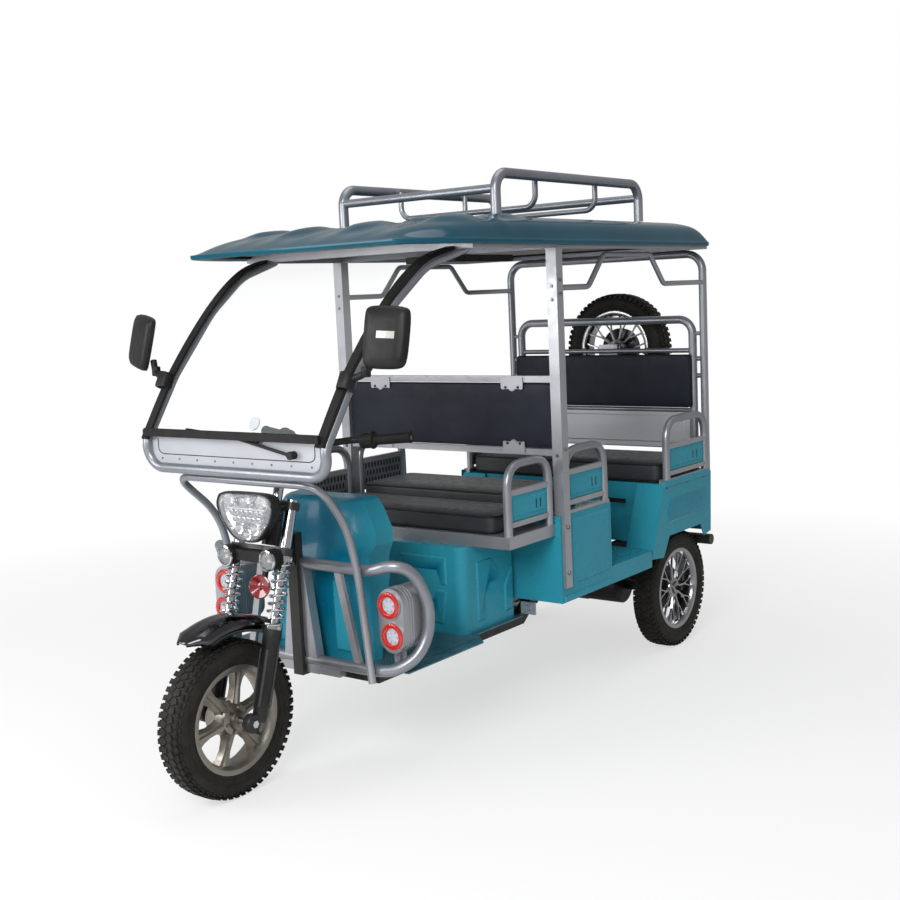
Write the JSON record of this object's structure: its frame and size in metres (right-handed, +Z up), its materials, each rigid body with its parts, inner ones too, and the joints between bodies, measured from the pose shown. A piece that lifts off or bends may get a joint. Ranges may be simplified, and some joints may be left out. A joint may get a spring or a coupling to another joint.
{
  "type": "electric rickshaw",
  "caption": "Open-sided passenger electric rickshaw with a teal body, roof rack, shared backrest, facing rear bench, sprung front fork and turning wheels.",
  "frame": {"origin": "on the ground under the middle of the vehicle's box", "axes": "+X to the vehicle's left, -Y the way it drives, +Z up"},
  "size_m": [1.2182, 2.662, 1.8859],
  "materials": {
    "silver": "silver paint",
    "teal": "gloss",
    "teal_gelcoat": "gloss moulding",
    "black_frame": "satin",
    "chrome": "polished",
    "alloy": "cast",
    "tyre": "worn",
    "cushion": "soft cover",
    "board": "padded board",
    "floor_plate": "raised pattern",
    "glass": "clear",
    "black_plastic": "satin",
    "lamp": "clear lens",
    "red_lamp": "lens",
    "battery": "plain block"
  },
  "bodies": {
    "root": {"chassis_frame": "black_frame", "front_guard": "silver", "side_lamps": "silver", "leg_shield": "teal", "front_floor": "floor_plate", "driver_seat_box": "teal", "battery_pack": "battery", "seat_frame": "silver", "driver_cushion": "cushion", "middle_posts": "silver", "middle_body": "teal", "step_floor": "teal", "middle_cushion": "cushion", "backrest_board": "board", "backrest_frame": "silver", "rear_body": "teal", "rear_hoop": "silver", "rear_backrest_frame": "silver", "rear_back_pad": "board", "rear_cushion": "cushion", "front_armrests": "silver", "middle_armrests": "silver", "rear_armrests": "silver", "grab_bars": "silver", "roof_frame": "silver", "roof_canopy": "teal_gelcoat", "roof_speaker": "black_plastic", "luggage_rack": "silver", "windscreen_frame": "silver", "dash_panel": "silver", "windscreen_glass": "glass", "wiper": "black_plastic", "mirrors": "black_plastic", "rear_axle": "black_frame", "leaf_springs": "black_frame", "rear_bumper": "black_frame", "tail_lamps": "red_lamp", "spare_tyre": "tyre", "spare_rim": "chrome"},
    "steering": {"fork": "chrome", "handlebar": "black_plastic", "headlight": "lamp", "fog_lamps": "black_plastic", "front_mudguard": "chrome"},
    "front_wheel": {"front_tyre": "tyre", "front_rim": "alloy"},
    "rear_wheel_left": {"rear_left_tyre": "tyre", "rear_left_rim": "chrome"},
    "rear_wheel_right": {"rear_right_tyre": "tyre", "rear_right_rim": "chrome"}
  },
  "joints": [
    {"name": "steering_turn", "type": "hinge", "parent": "root", "child": "steering", "pos_m": [0, -1.02785, 0.22081], "axis": [0, 0.2907, 0.9568], "range_deg": [-40, 40]},
    {"name": "front_wheel_spin", "type": "hinge", "parent": "steering", "child": "front_wheel", "pos_m": [0, -1.091, 0.24], "axis": [1, 0, 0], "continuous": true},
    {"name": "rear_left_wheel_spin", "type": "hinge", "parent": "root", "child": "rear_wheel_left", "pos_m": [0.3965, 0.982, 0.24], "axis": [1, 0, 0], "continuous": true},
    {"name": "rear_right_wheel_spin", "type": "hinge", "parent": "root", "child": "rear_wheel_right", "pos_m": [-0.3965, 0.982, 0.24], "axis": [1, 0, 0], "continuous": true}
  ]
}
